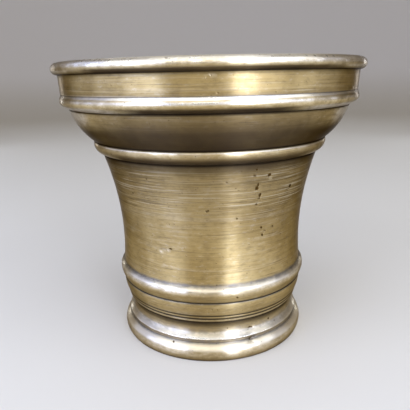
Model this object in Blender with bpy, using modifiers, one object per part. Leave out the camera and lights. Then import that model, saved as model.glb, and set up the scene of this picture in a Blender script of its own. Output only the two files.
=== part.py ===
"""A turned bronze grinding bowl: one heavy casting, its four iron core chaplets and its floor plug.

The casting is a mortar. A rounded lip, a plain band, a cushion bead, an ovolo and a thin
bead stand over a flared waist. A lower bead, a second band, two fine ridges and a hollow
lead down to a round foot. Heights are counted upwards from the foot's flat face, and each
moulding is measured from the one below it, so a change to one moves all that it carries.
The bowl stands on +Z with its axis on the Z axis. Lengths are in metres.
"""

import math

import bmesh
import bpy

# Steps round the axis for every turned piece
TURN_STEPS = 64

# Gap that neighbouring solids keep
CLEARANCE = 0.0003

# How far a quarter circle stands out from its chord, as a share of its radius
QUARTER_ROUND = 1 - math.sqrt(0.5)

# Waist, the narrow flared middle of the casting
WAIST_RADIUS = 0.0421
WAIST_FLARE = 0.0070
WAIST_BELOW = 0.0100
WAIST_ABOVE = 0.0407

# Thin bead that ends the waist
THIN_BEAD_HEIGHT = 0.0055
THIN_BEAD_PROUD = 0.0040
THIN_BEAD_EDGE = 0.0004

# Ovolo, the sloping belly between the two upper beads
OVOLO_HEIGHT = 0.0141
OVOLO_SPREAD = 0.0092
OVOLO_BULGE = 0.0014

# Upper bead, a cushion with a square fillet on its top
UPPER_BEAD_HEIGHT = 0.0049
UPPER_BEAD_SPREAD = 0.0038
UPPER_BEAD_BULGE = 0.0005
FILLET_HEIGHT = 0.0008
FILLET_PROUD = 0.0008

# Plain band under the lip, and the lip's round nose
BAND_HEIGHT = 0.0080
BAND_SPREAD = 0.0005
LIP_NOSE_RADIUS = 0.0025
LIP_PROUD = 0.0026

# Lower bead and the band under it
LOWER_BEAD_HEIGHT = 0.0085
LOWER_BEAD_BULGE = 0.0018
LOWER_BAND_HEIGHT = 0.0065
LOWER_BAND_TAPER = 0.0011

# Two fine ridges, then the hollow and its thin fillet
RIDGE_HEIGHT = 0.0018
RIDGE_DEPTH = 0.0006
RIDGE_COUNT = 2
HOLLOW_HEIGHT = 0.0078
HOLLOW_DEPTH = 0.0013
FOOT_FILLET_HEIGHT = 0.0009
FOOT_FILLET_PROUD = 0.0004

# Round foot
FOOT_HEIGHT = 0.0087
FOOT_SPREAD = 0.0026
FOOT_BULGE = 0.0024
FOOT_FACE_WIDTH = 0.0065
RECESS_DEPTH = 0.0020

# Inside of the bowl
WAIST_WALL = 0.0081
RIM_WIDTH = 0.0078
RIM_INNER_ROUND = 0.0016
FLOOR_THICKNESS = 0.0180
MOUTH_POWER = 1.5

# Iron chaplets and the plug in the floor
CHAPLET_SIDE = 0.0040
CHAPLET_COUNT = 4
CHAPLET_WEB = 0.0070
PLUG_RADIUS = 0.0085
PLUG_TAPER = 0.0010

# Heights of the mouldings, each on top of the last
FOOT_TOP = FOOT_HEIGHT
FOOT_FILLET_TOP = FOOT_TOP + FOOT_FILLET_HEIGHT
HOLLOW_TOP = FOOT_FILLET_TOP + HOLLOW_HEIGHT
RIDGES_TOP = HOLLOW_TOP + RIDGE_COUNT * RIDGE_HEIGHT
LOWER_BAND_TOP = RIDGES_TOP + LOWER_BAND_HEIGHT
LOWER_BEAD_TOP = LOWER_BAND_TOP + LOWER_BEAD_HEIGHT
NARROWEST = LOWER_BEAD_TOP + WAIST_BELOW
WAIST_TOP = NARROWEST + WAIST_ABOVE
THIN_BEAD_TOP = WAIST_TOP + THIN_BEAD_HEIGHT
OVOLO_TOP = THIN_BEAD_TOP + OVOLO_HEIGHT
UPPER_BEAD_TOP = OVOLO_TOP + UPPER_BEAD_HEIGHT
FILLET_TOP = UPPER_BEAD_TOP + FILLET_HEIGHT
BAND_TOP = FILLET_TOP + BAND_HEIGHT
TOP = BAND_TOP + 2 * LIP_NOSE_RADIUS

# Radii of the mouldings, each from its neighbour nearer the waist
NECK_RADIUS = WAIST_RADIUS + WAIST_FLARE
THIN_BEAD_RADIUS = NECK_RADIUS + THIN_BEAD_PROUD
OVOLO_TOP_RADIUS = THIN_BEAD_RADIUS - THIN_BEAD_EDGE + OVOLO_SPREAD
FILLET_RADIUS = OVOLO_TOP_RADIUS + UPPER_BEAD_SPREAD
BAND_RADIUS = FILLET_RADIUS - FILLET_PROUD
BAND_TOP_RADIUS = BAND_RADIUS + BAND_SPREAD
LIP_RADIUS = BAND_TOP_RADIUS + LIP_PROUD
WAIST_CURVE = WAIST_FLARE / WAIST_ABOVE**2
LOWER_BEAD_RADIUS = WAIST_RADIUS + WAIST_CURVE * WAIST_BELOW**2
RIDGE_RADIUS = LOWER_BEAD_RADIUS - LOWER_BAND_TAPER
HOLLOW_RADIUS = RIDGE_RADIUS - RIDGE_COUNT * RIDGE_DEPTH
FOOT_FACE_RADIUS = HOLLOW_RADIUS + FOOT_SPREAD
RECESS_RADIUS = FOOT_FACE_RADIUS - FOOT_FACE_WIDTH

# Inside radii and the centre of the round floor
BOWL_RADIUS = WAIST_RADIUS - WAIST_WALL
MOUTH_RADIUS = LIP_RADIUS - RIM_WIDTH
BOWL_CENTRE = FLOOR_THICKNESS + BOWL_RADIUS
CHAPLET_CIRCLE = PLUG_RADIUS + CHAPLET_WEB + CHAPLET_SIDE / 2


def arc(start, end, bulge, steps):
    """Points after start on the arc to end. The metal lies on the right of the way, and the arc stands
    out of it by bulge, or is hollowed into it where bulge is negative."""
    (x0, z0), (x1, z1) = start, end
    span = math.hypot(x1 - x0, z1 - z0)
    radius = (span**2 / 4 + bulge**2) / (2 * bulge)
    out_x = (z0 - z1) / span
    out_z = (x1 - x0) / span
    centre_x = (x0 + x1) / 2 + out_x * (bulge - radius)
    centre_z = (z0 + z1) / 2 + out_z * (bulge - radius)
    first = math.atan2(z0 - centre_z, x0 - centre_x)
    turn = math.remainder(math.atan2(z1 - centre_z, x1 - centre_x) - first, math.tau)
    angles = [first + turn * step / steps for step in range(1, steps + 1)]
    reach = abs(radius)
    return [(centre_x + reach * math.cos(a), centre_z + reach * math.sin(a)) for a in angles]


def lip_nose():
    """The half-round nose, from its top down to where it meets the band."""
    centre_x = LIP_RADIUS - LIP_NOSE_RADIUS
    centre_z = TOP - LIP_NOSE_RADIUS
    angles = [math.radians(90 - 165 * step / 7) for step in range(8)]
    return [
        (centre_x + LIP_NOSE_RADIUS * math.cos(a), centre_z + LIP_NOSE_RADIUS * math.sin(a))
        for a in angles
    ]


def waist_radius(height):
    """A parabola with its narrowest point at NARROWEST."""
    return WAIST_RADIUS + WAIST_CURVE * (height - NARROWEST) ** 2


def waist():
    heights = [WAIST_TOP + (LOWER_BEAD_TOP - WAIST_TOP) * step / 7 for step in range(8)]
    return [(waist_radius(height), height) for height in heights]


def ridges():
    """Two fine steps, each a small slope out and a slope in."""
    points = []
    for index in range(RIDGE_COUNT):
        top = RIDGES_TOP - index * RIDGE_HEIGHT
        crest = RIDGE_RADIUS - index * RIDGE_DEPTH
        points.append((crest, top - 0.4 * RIDGE_HEIGHT))
        points.append((crest - RIDGE_DEPTH, top - RIDGE_HEIGHT))
    return points


def outer_side():
    """The outline that shows, from the lip's top down to the foot's face."""
    points = lip_nose()
    points.append((BAND_TOP_RADIUS, BAND_TOP))
    points.append((BAND_RADIUS, FILLET_TOP))
    points.append((FILLET_RADIUS, FILLET_TOP))
    points.append((FILLET_RADIUS, UPPER_BEAD_TOP))
    points += arc(points[-1], (OVOLO_TOP_RADIUS, OVOLO_TOP), UPPER_BEAD_BULGE, 3)
    points += arc(points[-1], (THIN_BEAD_RADIUS - THIN_BEAD_EDGE, THIN_BEAD_TOP), OVOLO_BULGE, 5)
    points.append((THIN_BEAD_RADIUS, THIN_BEAD_TOP - THIN_BEAD_EDGE))
    points += arc(points[-1], (NECK_RADIUS, WAIST_TOP), THIN_BEAD_PROUD / 5, 3)
    points += waist()[1:]
    points += arc(points[-1], (LOWER_BEAD_RADIUS, LOWER_BAND_TOP), LOWER_BEAD_BULGE, 5)
    points.append((RIDGE_RADIUS, RIDGES_TOP))
    points += ridges()
    points += arc(points[-1], (HOLLOW_RADIUS, FOOT_FILLET_TOP), -HOLLOW_DEPTH, 4)
    points.append((HOLLOW_RADIUS + FOOT_FILLET_PROUD, FOOT_FILLET_TOP - FOOT_FILLET_HEIGHT / 2))
    points.append((HOLLOW_RADIUS + FOOT_FILLET_PROUD / 2, FOOT_TOP))
    points += arc(points[-1], (FOOT_FACE_RADIUS, 0), FOOT_BULGE, 6)
    return points


def floor_height(radius):
    """Height of the round floor at a radius from the axis."""
    return BOWL_CENTRE - math.sqrt(BOWL_RADIUS**2 - radius**2)


def inner_side():
    """The outline that does the grinding, from the plug's seat up to the lip."""
    first = math.asin(PLUG_RADIUS / BOWL_RADIUS)
    angles = [first + (math.pi / 2 - first) * step / 6 for step in range(7)]
    points = [
        (BOWL_RADIUS * math.sin(a), BOWL_CENTRE - BOWL_RADIUS * math.cos(a)) for a in angles
    ]
    mouth = TOP - RIM_INNER_ROUND
    for step in range(1, 7):
        rise = step / 6
        spread = (MOUTH_RADIUS - BOWL_RADIUS) * rise**MOUTH_POWER
        points.append((BOWL_RADIUS + spread, BOWL_CENTRE + (mouth - BOWL_CENTRE) * rise))
    edge = (MOUTH_RADIUS + RIM_INNER_ROUND, TOP)
    points += arc(points[-1], edge, QUARTER_ROUND * RIM_INNER_ROUND, 3)
    return points


def casting_outline():
    """A closed outline that never touches the axis, because the plug's seat goes through the floor."""
    underside = [
        (RECESS_RADIUS, 0),
        (RECESS_RADIUS, RECESS_DEPTH),
        (PLUG_RADIUS - PLUG_TAPER, RECESS_DEPTH),
    ]
    return outer_side() + underside + inner_side()


def plug_outline():
    """The tapered plug, with a dished top that carries the floor's curve on to the axis."""
    top_radius = PLUG_RADIUS - CLEARANCE
    bottom_radius = top_radius - PLUG_TAPER
    dish = [top_radius * step / 4 for step in range(5)]
    points = [(radius, floor_height(radius)) for radius in dish]
    points.append((bottom_radius, RECESS_DEPTH))
    points.append((0, RECESS_DEPTH))
    return points


def collection(name):
    made = bpy.data.collections.new(name)
    bpy.context.scene.collection.children.link(made)
    return made


def material(name, colour, roughness, metallic):
    made = bpy.data.materials.new(name)
    made.use_nodes = True
    shader = made.node_tree.nodes["Principled BSDF"]
    shader.inputs["Base Color"].default_value = (*colour, 1)
    shader.inputs["Roughness"].default_value = roughness
    shader.inputs["Metallic"].default_value = metallic
    return made


def turned(name, points, closed, home, finish):
    """Turns an outline round the Z axis with a Screw modifier, and keeps the result as a mesh."""
    outline = bpy.data.meshes.new(name)
    links = [(index, index + 1) for index in range(len(points) - 1)]
    if closed:
        links.append((len(points) - 1, 0))
    outline.from_pydata([(x, 0, z) for x, z in points], links, [])
    guide = bpy.data.objects.new(name + "_outline", outline)
    home.objects.link(guide)
    screw = guide.modifiers.new("Turn", "SCREW")
    screw.steps = TURN_STEPS
    screw.render_steps = TURN_STEPS
    screw.use_merge_vertices = True
    screw.merge_threshold = 0.00001
    bpy.context.view_layer.update()
    graph = bpy.context.evaluated_depsgraph_get()
    mesh = bpy.data.meshes.new_from_object(guide.evaluated_get(graph))
    bpy.data.objects.remove(guide)
    mesh.name = name
    mesh.shade_smooth()
    mesh.set_sharp_from_angle(angle=math.radians(32))
    mesh.materials.clear()
    mesh.materials.append(finish)
    piece = bpy.data.objects.new(name, mesh)
    home.objects.link(piece)
    return piece


def block(name, side, low, high, home, finish=None):
    """A square bar standing on Z, from the height low to the height high."""
    mesh = bpy.data.meshes.new(name)
    shape = bmesh.new()
    bmesh.ops.create_cube(shape, size=1)
    bmesh.ops.scale(shape, vec=(side, side, high - low), verts=shape.verts)
    bmesh.ops.translate(shape, vec=(0, 0, (low + high) / 2), verts=shape.verts)
    shape.to_mesh(mesh)
    shape.free()
    if finish:
        mesh.materials.append(finish)
    piece = bpy.data.objects.new(name, mesh)
    home.objects.link(piece)
    return piece


def as_cutter(piece):
    piece.hide_render = True
    piece.display_type = "WIRE"


def cut(piece, cutter):
    boolean = piece.modifiers.new("Cut " + cutter.name, "BOOLEAN")
    boolean.operation = "DIFFERENCE"
    boolean.solver = "EXACT"
    boolean.object = cutter


def place_on_circle(piece, index):
    """Sets a bar on the chaplets' circle, midway between the X and Y axes, facing the middle."""
    angle = math.tau * (index + 0.5) / CHAPLET_COUNT
    piece.location = (CHAPLET_CIRCLE * math.cos(angle), CHAPLET_CIRCLE * math.sin(angle), 0)
    piece.rotation_euler = (0, 0, angle)


def bowl_core(cutters):
    """A ball the size of the round floor, which trims the chaplets flush with it."""
    mesh = bpy.data.meshes.new("bowl_core")
    shape = bmesh.new()
    bmesh.ops.create_uvsphere(
        shape, u_segments=TURN_STEPS, v_segments=TURN_STEPS // 2, radius=BOWL_RADIUS + CLEARANCE
    )
    shape.to_mesh(mesh)
    shape.free()
    core = bpy.data.objects.new("bowl_core", mesh)
    cutters.objects.link(core)
    core.location = (0, 0, BOWL_CENTRE)
    as_cutter(core)
    return core


def build():
    for item in list(bpy.data.objects):
        bpy.data.objects.remove(item)
    parts = collection("bronze_grinding_bowl")
    cutters = collection("cutters")
    bronze = material("cast_bronze", (0.47, 0.36, 0.19), 0.34, 1)
    plug_bronze = material("plug_bronze", (0.42, 0.30, 0.15), 0.42, 1)
    iron = material("chaplet_iron", (0.16, 0.12, 0.10), 0.62, 1)

    casting = turned("mortar_casting", casting_outline(), True, parts, bronze)
    turned("floor_plug", plug_outline(), False, parts, plug_bronze)

    core = bowl_core(cutters)
    reach = floor_height(CHAPLET_CIRCLE + CHAPLET_SIDE)
    for index in range(CHAPLET_COUNT):
        number = str(index + 1)
        chaplet = block("core_chaplet_" + number, CHAPLET_SIDE, RECESS_DEPTH, reach, parts, iron)
        place_on_circle(chaplet, index)
        cut(chaplet, core)
        seat_side = CHAPLET_SIDE + 2 * CLEARANCE
        seat = block("chaplet_seat_" + number, seat_side, 0, BOWL_CENTRE, cutters)
        place_on_circle(seat, index)
        as_cutter(seat)
        cut(casting, seat)


build()
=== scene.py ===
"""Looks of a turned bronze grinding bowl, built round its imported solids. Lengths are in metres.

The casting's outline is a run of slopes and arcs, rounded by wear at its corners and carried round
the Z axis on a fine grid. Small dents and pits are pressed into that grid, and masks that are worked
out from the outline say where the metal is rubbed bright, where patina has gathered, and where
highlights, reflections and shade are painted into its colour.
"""

import math

import bmesh
import bpy
import numpy as np
from mathutils import Matrix, Vector


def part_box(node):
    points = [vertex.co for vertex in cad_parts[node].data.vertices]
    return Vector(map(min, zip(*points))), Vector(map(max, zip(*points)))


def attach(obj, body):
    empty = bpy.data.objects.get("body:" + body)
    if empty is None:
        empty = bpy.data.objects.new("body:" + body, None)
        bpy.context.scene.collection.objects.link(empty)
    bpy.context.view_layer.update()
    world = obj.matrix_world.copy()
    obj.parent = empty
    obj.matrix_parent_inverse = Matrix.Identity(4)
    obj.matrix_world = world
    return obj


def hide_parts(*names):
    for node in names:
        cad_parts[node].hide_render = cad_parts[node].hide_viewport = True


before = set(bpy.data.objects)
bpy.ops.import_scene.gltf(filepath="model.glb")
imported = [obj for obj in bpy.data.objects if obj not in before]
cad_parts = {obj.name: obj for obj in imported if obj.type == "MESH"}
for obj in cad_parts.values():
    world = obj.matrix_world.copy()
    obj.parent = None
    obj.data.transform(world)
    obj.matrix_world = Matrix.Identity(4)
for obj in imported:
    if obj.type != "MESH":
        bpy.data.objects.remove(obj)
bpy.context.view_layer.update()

MM = 0.001

# Outside of the casting: heights and spreads of the mouldings, from the waist outwards
WAIST_RADIUS = 42.1 * MM
WAIST_FLARE = 7.0 * MM
WAIST_BELOW = 11.1 * MM
WAIST_ABOVE = 40.7 * MM
THIN_BEAD_HEIGHT = 5.5 * MM
THIN_BEAD_PROUD = 3.5 * MM
THIN_BEAD_EDGE = 0.4 * MM
THIN_BEAD_EDGE_DROP = 2.1 * THIN_BEAD_EDGE
THIN_BEAD_BULGE = 1.15 * MM
OVOLO_HEIGHT = 14.1 * MM
OVOLO_SPREAD = 9.7 * MM
OVOLO_BULGE = 1.4 * MM
UPPER_BEAD_HEIGHT = 4.4 * MM
UPPER_BEAD_SPREAD = 3.0 * MM
UPPER_BEAD_BULGE = 1.3 * MM
FILLET_HEIGHT = 1.3 * MM
FILLET_PROUD = 0.6 * MM
CUT_DEPTH = 0.45 * MM
CUT_WIDTH = 0.5 * MM
CHAMFER = 0.1 * MM
BAND_HEIGHT = 8.0 * MM
BAND_SPREAD = 0.5 * MM
BAND_GROOVE_DEPTH = 0.15 * MM
BAND_GROOVE_HEIGHT = 0.2 * MM
LIP_NOSE_RADIUS = 2.5 * MM
LOWER_BEAD_HEIGHT = 7.6 * MM
LOWER_BEAD_BULGE = 1.6 * MM
LOWER_BAND_PROUD = 0.3 * MM
LOWER_BAND_HEIGHT = 6.5 * MM
LOWER_BAND_TAPER = 1.3 * MM
LOWER_BAND_BULGE = 0.35 * MM
RIDGE_HEIGHT = 1.75 * MM
RIDGE_DEPTH = 0.5 * MM
RIDGE_BULGE = 0.35 * MM
RIDGE_COUNT = 2
RIDGE_GROOVE = np.array([-0.25, -0.12]) * MM
HOLLOW_HEIGHT = 7.6 * MM
HOLLOW_DEPTH = 1.9 * MM
FOOT_EDGE_PROUD = 0.6 * MM
FOOT_EDGE_HEIGHT = 0.9 * MM
FOOT_HEIGHT = 8.8 * MM
FOOT_STRIP = np.array([(-0.05, 0.25), (-0.25, 0.05), (-0.1, -0.15), (-0.1, -0.75), (-0.3, -0.95)]) * MM
FOOT_ROUND_START = np.array([-0.15, -1.1]) * MM
FOOT_SPREAD = 2.1 * MM
FOOT_BULGE = 1.7 * MM
FOOT_FACE_WIDTH = 6.5 * MM
RECESS_DEPTH = 2.0 * MM

# Inside of the bowl, its chaplets and its plug
WAIST_WALL = 8.1 * MM
RIM_WIDTH = 7.8 * MM
RIM_INNER_ROUND = 1.6 * MM
FLOOR_THICKNESS = 18.0 * MM
MOUTH_POWER = 1.5
CHAPLET_SIDE = 4.0 * MM
CHAPLET_COUNT = 4
CHAPLET_WEB = 7.0 * MM
PLUG_RADIUS = 8.5 * MM
PLUG_TAPER = 1.0 * MM
PLUG_EDGE = 0.35 * MM
PLUG_SIDES = 128
CLEARANCE = 0.3 * MM

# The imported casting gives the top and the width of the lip
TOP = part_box("mortar_casting")[1].z
LIP_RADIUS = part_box("mortar_casting")[1].x

FOOT_EDGE_TOP = FOOT_HEIGHT + FOOT_EDGE_HEIGHT
HOLLOW_TOP = FOOT_EDGE_TOP + HOLLOW_HEIGHT
RIDGES_TOP = HOLLOW_TOP + RIDGE_COUNT * RIDGE_HEIGHT
LOWER_BAND_TOP = RIDGES_TOP + LOWER_BAND_HEIGHT
LOWER_BEAD_TOP = LOWER_BAND_TOP + LOWER_BEAD_HEIGHT
NARROWEST = LOWER_BEAD_TOP + WAIST_BELOW
WAIST_TOP = NARROWEST + WAIST_ABOVE
THIN_BEAD_TOP = WAIST_TOP + THIN_BEAD_HEIGHT
OVOLO_TOP = THIN_BEAD_TOP + OVOLO_HEIGHT
UPPER_BEAD_TOP = OVOLO_TOP + UPPER_BEAD_HEIGHT
FILLET_TOP = UPPER_BEAD_TOP + FILLET_HEIGHT
BAND_TOP = FILLET_TOP + BAND_HEIGHT

NECK_RADIUS = WAIST_RADIUS + WAIST_FLARE
THIN_BEAD_RADIUS = NECK_RADIUS + THIN_BEAD_PROUD
OVOLO_TOP_RADIUS = THIN_BEAD_RADIUS - THIN_BEAD_EDGE + OVOLO_SPREAD
UPPER_BEAD_RADIUS = OVOLO_TOP_RADIUS + UPPER_BEAD_SPREAD
FILLET_RADIUS = UPPER_BEAD_RADIUS + FILLET_PROUD
BAND_RADIUS = UPPER_BEAD_RADIUS
BAND_TOP_RADIUS = BAND_RADIUS + BAND_SPREAD
WAIST_CURVE = WAIST_FLARE / WAIST_ABOVE**2
LOWER_BEAD_RADIUS = WAIST_RADIUS + WAIST_CURVE * WAIST_BELOW**2
LOWER_BAND_RADIUS = LOWER_BEAD_RADIUS + LOWER_BAND_PROUD
RIDGE_RADIUS = LOWER_BAND_RADIUS - LOWER_BAND_TAPER
HOLLOW_RADIUS = RIDGE_RADIUS - RIDGE_COUNT * RIDGE_DEPTH
FOOT_EDGE_RADIUS = HOLLOW_RADIUS + FOOT_EDGE_PROUD
FOOT_FACE_RADIUS = HOLLOW_RADIUS + FOOT_SPREAD
RECESS_RADIUS = FOOT_FACE_RADIUS - FOOT_FACE_WIDTH
BOWL_RADIUS = WAIST_RADIUS - WAIST_WALL
MOUTH_RADIUS = LIP_RADIUS - RIM_WIDTH
BOWL_CENTRE = FLOOR_THICKNESS + BOWL_RADIUS
CHAPLET_CIRCLE = PLUG_RADIUS + CHAPLET_WEB + CHAPLET_SIDE / 2

# Grid of the turned casting: its size, the spacing of its rows, and how widely its corners are worn
# and its relief is measured
COLUMNS = 360
ROWS = 264
FINE_STEP = 0.05 * MM
FINE_WAIST_FROM = 55 * MM
WAIST_SPACING = 0.5 * MM
PLAIN_SPACING = 0.8 * MM
HIDDEN_SPACING = 4.5 * MM
LEAST_SPACING = 0.12 * MM
TURN_PER_ROW = 0.3
BEND_STEPS = 4
CORNER_WEAR = 0.13 * MM
RELIEF_REACH = 1.3 * MM
LINE_REACH = 0.45 * MM


def arc(start, end, bulge, steps=28):
    """Points on a circle's arc from start to end. The circle's radius follows from the chord and from
    how far the arc stands out of it, which is bulge, on the left of the way from start to end."""
    start, end = np.array(start), np.array(end)
    chord = end - start
    span = np.hypot(*chord)
    radius = (span**2 / 4 + bulge**2) / (2 * bulge)
    side = np.array([-chord[1], chord[0]]) / span
    centre = (start + end) / 2 + side * (bulge - radius)
    first = math.atan2(*(start - centre)[::-1])
    turn = math.remainder(math.atan2(*(end - centre)[::-1]) - first, math.tau)
    angles = first + turn * np.linspace(0, 1, steps + 1)
    return centre + abs(radius) * np.stack([np.cos(angles), np.sin(angles)], 1)


def swell(start, end, proud, lean, steps=40):
    """Points on a line from start to end, pushed out on its left by the sine of half a turn times a
    power of the share of the way. A power under 1 brings the fullest place nearer the start, where the
    points also stand closer together."""
    start, end = np.array(start), np.array(end)
    chord = end - start
    side = np.array([-chord[1], chord[0]]) / np.hypot(*chord)
    share = np.linspace(0, 1, steps + 1)[:, None] ** 2
    return start + share * chord + proud * np.sin(math.pi * share**lean) * side


def waist():
    """The waist's radius is its least radius plus a share of the squared height above or below its
    narrowest place."""
    heights = np.linspace(WAIST_TOP, LOWER_BEAD_TOP, 60)
    return np.stack([WAIST_RADIUS + WAIST_CURVE * (heights - NARROWEST) ** 2, heights], 1)


def lip():
    """A circle's arc of 165 degrees, from the top of the lip round its nose and under it."""
    angles = np.radians(np.linspace(90, -75, 50))
    centre = np.array([LIP_RADIUS - LIP_NOSE_RADIUS, TOP - LIP_NOSE_RADIUS])
    return centre + LIP_NOSE_RADIUS * np.stack([np.cos(angles), np.sin(angles)], 1)


def outer_side():
    """Radius and height down the side that shows, from the lip's top to the foot's face."""
    bead_top = (FILLET_RADIUS - CHAMFER, UPPER_BEAD_TOP - CHAMFER)
    ovolo_foot = (THIN_BEAD_RADIUS - THIN_BEAD_EDGE, THIN_BEAD_TOP)
    thin_edge = (THIN_BEAD_RADIUS, THIN_BEAD_TOP - THIN_BEAD_EDGE_DROP)
    cut = np.array([LOWER_BAND_RADIUS, LOWER_BAND_TOP])
    foot_edge = np.array([FOOT_EDGE_RADIUS, FOOT_HEIGHT])
    runs = [
        lip(),
        [(BAND_TOP_RADIUS, BAND_TOP), (BAND_RADIUS, FILLET_TOP + BAND_GROOVE_HEIGHT)],
        [(BAND_RADIUS - BAND_GROOVE_DEPTH, FILLET_TOP), (BAND_RADIUS + CHAMFER, FILLET_TOP - CHAMFER)],
        [(FILLET_RADIUS, UPPER_BEAD_TOP)],
        swell(bead_top, (OVOLO_TOP_RADIUS, OVOLO_TOP), UPPER_BEAD_BULGE, 0.7),
        arc((OVOLO_TOP_RADIUS, OVOLO_TOP), ovolo_foot, OVOLO_BULGE)[1:],
        arc(thin_edge, (NECK_RADIUS, WAIST_TOP), THIN_BEAD_BULGE),
        waist()[1:],
        swell((LOWER_BEAD_RADIUS, LOWER_BEAD_TOP), cut + (0, CUT_WIDTH / 2), LOWER_BEAD_BULGE, 0.78),
        [cut - (CUT_DEPTH, 0)],
        arc(cut - (0, CUT_WIDTH / 2), (RIDGE_RADIUS, RIDGES_TOP), LOWER_BAND_BULGE),
    ]
    for index in range(RIDGE_COUNT):
        top = np.array([RIDGE_RADIUS - index * RIDGE_DEPTH, RIDGES_TOP - index * RIDGE_HEIGHT])
        foot = top - (RIDGE_DEPTH, RIDGE_HEIGHT)
        runs.append(arc(top + RIDGE_GROOVE, foot + RIDGE_GROOVE * (1, -1), RIDGE_BULGE, 10))
    runs += [
        arc((HOLLOW_RADIUS, HOLLOW_TOP), (FOOT_EDGE_RADIUS, FOOT_EDGE_TOP), -HOLLOW_DEPTH),
        FOOT_STRIP + foot_edge,
        arc(foot_edge + FOOT_ROUND_START, (FOOT_FACE_RADIUS, 0), FOOT_BULGE),
    ]
    return np.concatenate(runs)


def floor_height(radius):
    """Height of the bowl's round floor, which is part of a ball."""
    return BOWL_CENTRE - np.sqrt(BOWL_RADIUS**2 - np.square(radius))


def inner_side():
    """A ball's outline up to its widest, and above it a flare that grows as a power of the height."""
    angles = np.linspace(math.asin(PLUG_RADIUS / BOWL_RADIUS), math.pi / 2, 60)
    ball = np.stack([BOWL_RADIUS * np.sin(angles), BOWL_CENTRE - BOWL_RADIUS * np.cos(angles)], 1)
    share = np.linspace(0, 1, 60)[1:]
    flare = np.stack([
        BOWL_RADIUS + (MOUTH_RADIUS - BOWL_RADIUS) * share**MOUTH_POWER,
        BOWL_CENTRE + (TOP - RIM_INNER_ROUND - BOWL_CENTRE) * share,
    ], 1)
    quarter = np.radians(np.linspace(180, 90, 20))[1:]
    turn = np.stack([np.cos(quarter), np.sin(quarter)], 1) * RIM_INNER_ROUND
    edge = np.array([MOUTH_RADIUS + RIM_INNER_ROUND, TOP - RIM_INNER_ROUND]) + turn
    return np.concatenate([ball, flare, edge])


def even_steps(points):
    """The closed line with its points a fine step apart, and the length along it at each."""
    points = np.concatenate([points, points[:1]])
    lengths = np.concatenate([[0], np.cumsum(np.hypot(*np.diff(points, axis=0).T))])
    along = np.linspace(0, lengths[-1], int(lengths[-1] / FINE_STEP), endpoint=False)
    return np.stack([np.interp(along, lengths, points[:, axis]) for axis in (0, 1)], 1), along


def step_up(value, least, most):
    """0 below least and 1 above most, with a smooth rise between them."""
    share = np.clip((value - least) / (most - least), 0, 1)
    return share * share * (3 - 2 * share)


def between(value, least, full_from, full_to, most):
    """1 from full_from to full_to, after a smooth rise from least and before a smooth fall to most."""
    return step_up(value, least, full_from) * (1 - step_up(value, full_to, most))


def bell(value, centre, reach):
    """1 at the centre, and less on both sides of it as a bell curve of the given reach."""
    return np.exp(-0.5 * ((value - centre) / reach) ** 2)


def softened(values, reach):
    """A running mean along the closed outline, weighted by a bell curve of the given reach, which is
    cut off at four times its reach."""
    half = int(4 * reach / FINE_STEP)
    weights = bell(np.arange(-half, half + 1) * FINE_STEP, 0, reach)
    weights /= weights.sum()
    wrapped = np.concatenate([values[-half - 1:], values, values[:half + 1]])
    smooth = np.stack([np.convolve(wrapped[:, axis], weights, "same") for axis in (0, 1)], 1)
    return smooth[half + 1:][:len(values)]


class Outline:
    """The casting's outline at the rows of its grid, with what the masks need to know about it: out
    and up are its normal, along is the length from the top of the lip, relief and line say how far it
    stands out of a wider and a narrower mean of itself, lean is how far that wider mean faces up, and
    shows is true on the outer side. Rows stand closer where the outline bends more."""

    def __init__(self):
        outer = outer_side()
        underside = [
            (RECESS_RADIUS, 0), (RECESS_RADIUS, RECESS_DEPTH), (PLUG_RADIUS - PLUG_TAPER, RECESS_DEPTH),
        ]
        points, along = even_steps(np.concatenate([outer, underside, inner_side()]))
        points = softened(points, CORNER_WEAR)
        way = np.roll(points, -1, 0) - np.roll(points, 1, 0)
        way /= np.hypot(*way.T)[:, None]
        normal = np.stack([-way[:, 1], way[:, 0]], 1)
        turned = np.roll(normal, -BEND_STEPS, 0) - np.roll(normal, BEND_STEPS, 0)
        bend = np.hypot(*turned.T) / (2 * BEND_STEPS * FINE_STEP)
        relief = ((points - softened(points, RELIEF_REACH)) * normal).sum(1)
        line = ((points - softened(points, LINE_REACH)) * normal).sum(1)
        lean = softened(normal, RELIEF_REACH)[:, 1]
        shows = along < np.hypot(*np.diff(outer, axis=0).T).sum()
        upper_waist = shows & (points[:, 1] > FINE_WAIST_FROM) & (points[:, 1] < WAIST_TOP)
        spacing = np.where(shows, np.where(upper_waist, WAIST_SPACING, PLAIN_SPACING), HIDDEN_SPACING)
        spacing = np.maximum(np.minimum(spacing, TURN_PER_ROW / np.maximum(bend, 1)), LEAST_SPACING)
        share = np.cumsum(1 / spacing)
        even = np.linspace(share[0], share[-1], ROWS, endpoint=False)
        rows = np.interp(even, share, np.arange(len(share))).astype(int)
        self.radius, self.height = points[rows].T
        self.out, self.up = normal[rows].T
        self.along = along[rows]
        self.relief = relief[rows]
        self.line = line[rows]
        self.lean = lean[rows]
        self.shows = shows[rows]


outline = Outline()
angle = np.arange(COLUMNS) * math.tau / COLUMNS

# A direction of 0 degrees faces the camera, and directions grow towards the right of the picture
facing = angle + math.pi / 2


def apart(direction):
    """Turn from a direction in degrees to each column, from minus half a turn to half a turn."""
    return (facing - math.radians(direction) + math.pi) % math.tau - math.pi


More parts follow.
